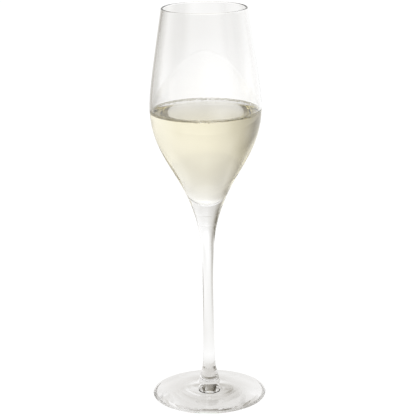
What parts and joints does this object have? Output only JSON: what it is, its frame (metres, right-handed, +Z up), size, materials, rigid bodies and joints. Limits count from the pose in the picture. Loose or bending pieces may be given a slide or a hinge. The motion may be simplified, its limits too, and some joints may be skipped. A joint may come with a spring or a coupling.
{
  "type": "champagne flute",
  "caption": "Clear tulip champagne flute with a drawn solid stem and a flared round foot, poured to the widest part of the bowl with pale sparkling wine.",
  "frame": {"origin": "on the table at the centre of the foot's underside", "axes": "+Z up along the axis of revolution, from the foot to the lip; +X and +Y are any two level directions, because the glass is round"},
  "size_m": [0.0678, 0.0678, 0.235],
  "materials": {
    "bowl_glass": "clear thin blown glass, fire-polished lip",
    "stem_glass": "clear solid drawn glass",
    "foot_glass": "clear pressed and spun glass with a rounded edge",
    "sparkling_wine": "clear pale straw liquid",
    "fine_foam": "fine glossy bubbles"
  },
  "bodies": {
    "root": {"bowl": "bowl_glass", "stem": "stem_glass", "foot": "foot_glass", "wine": "sparkling_wine", "foam_ring": "fine_foam"}
  },
  "joints": []
}
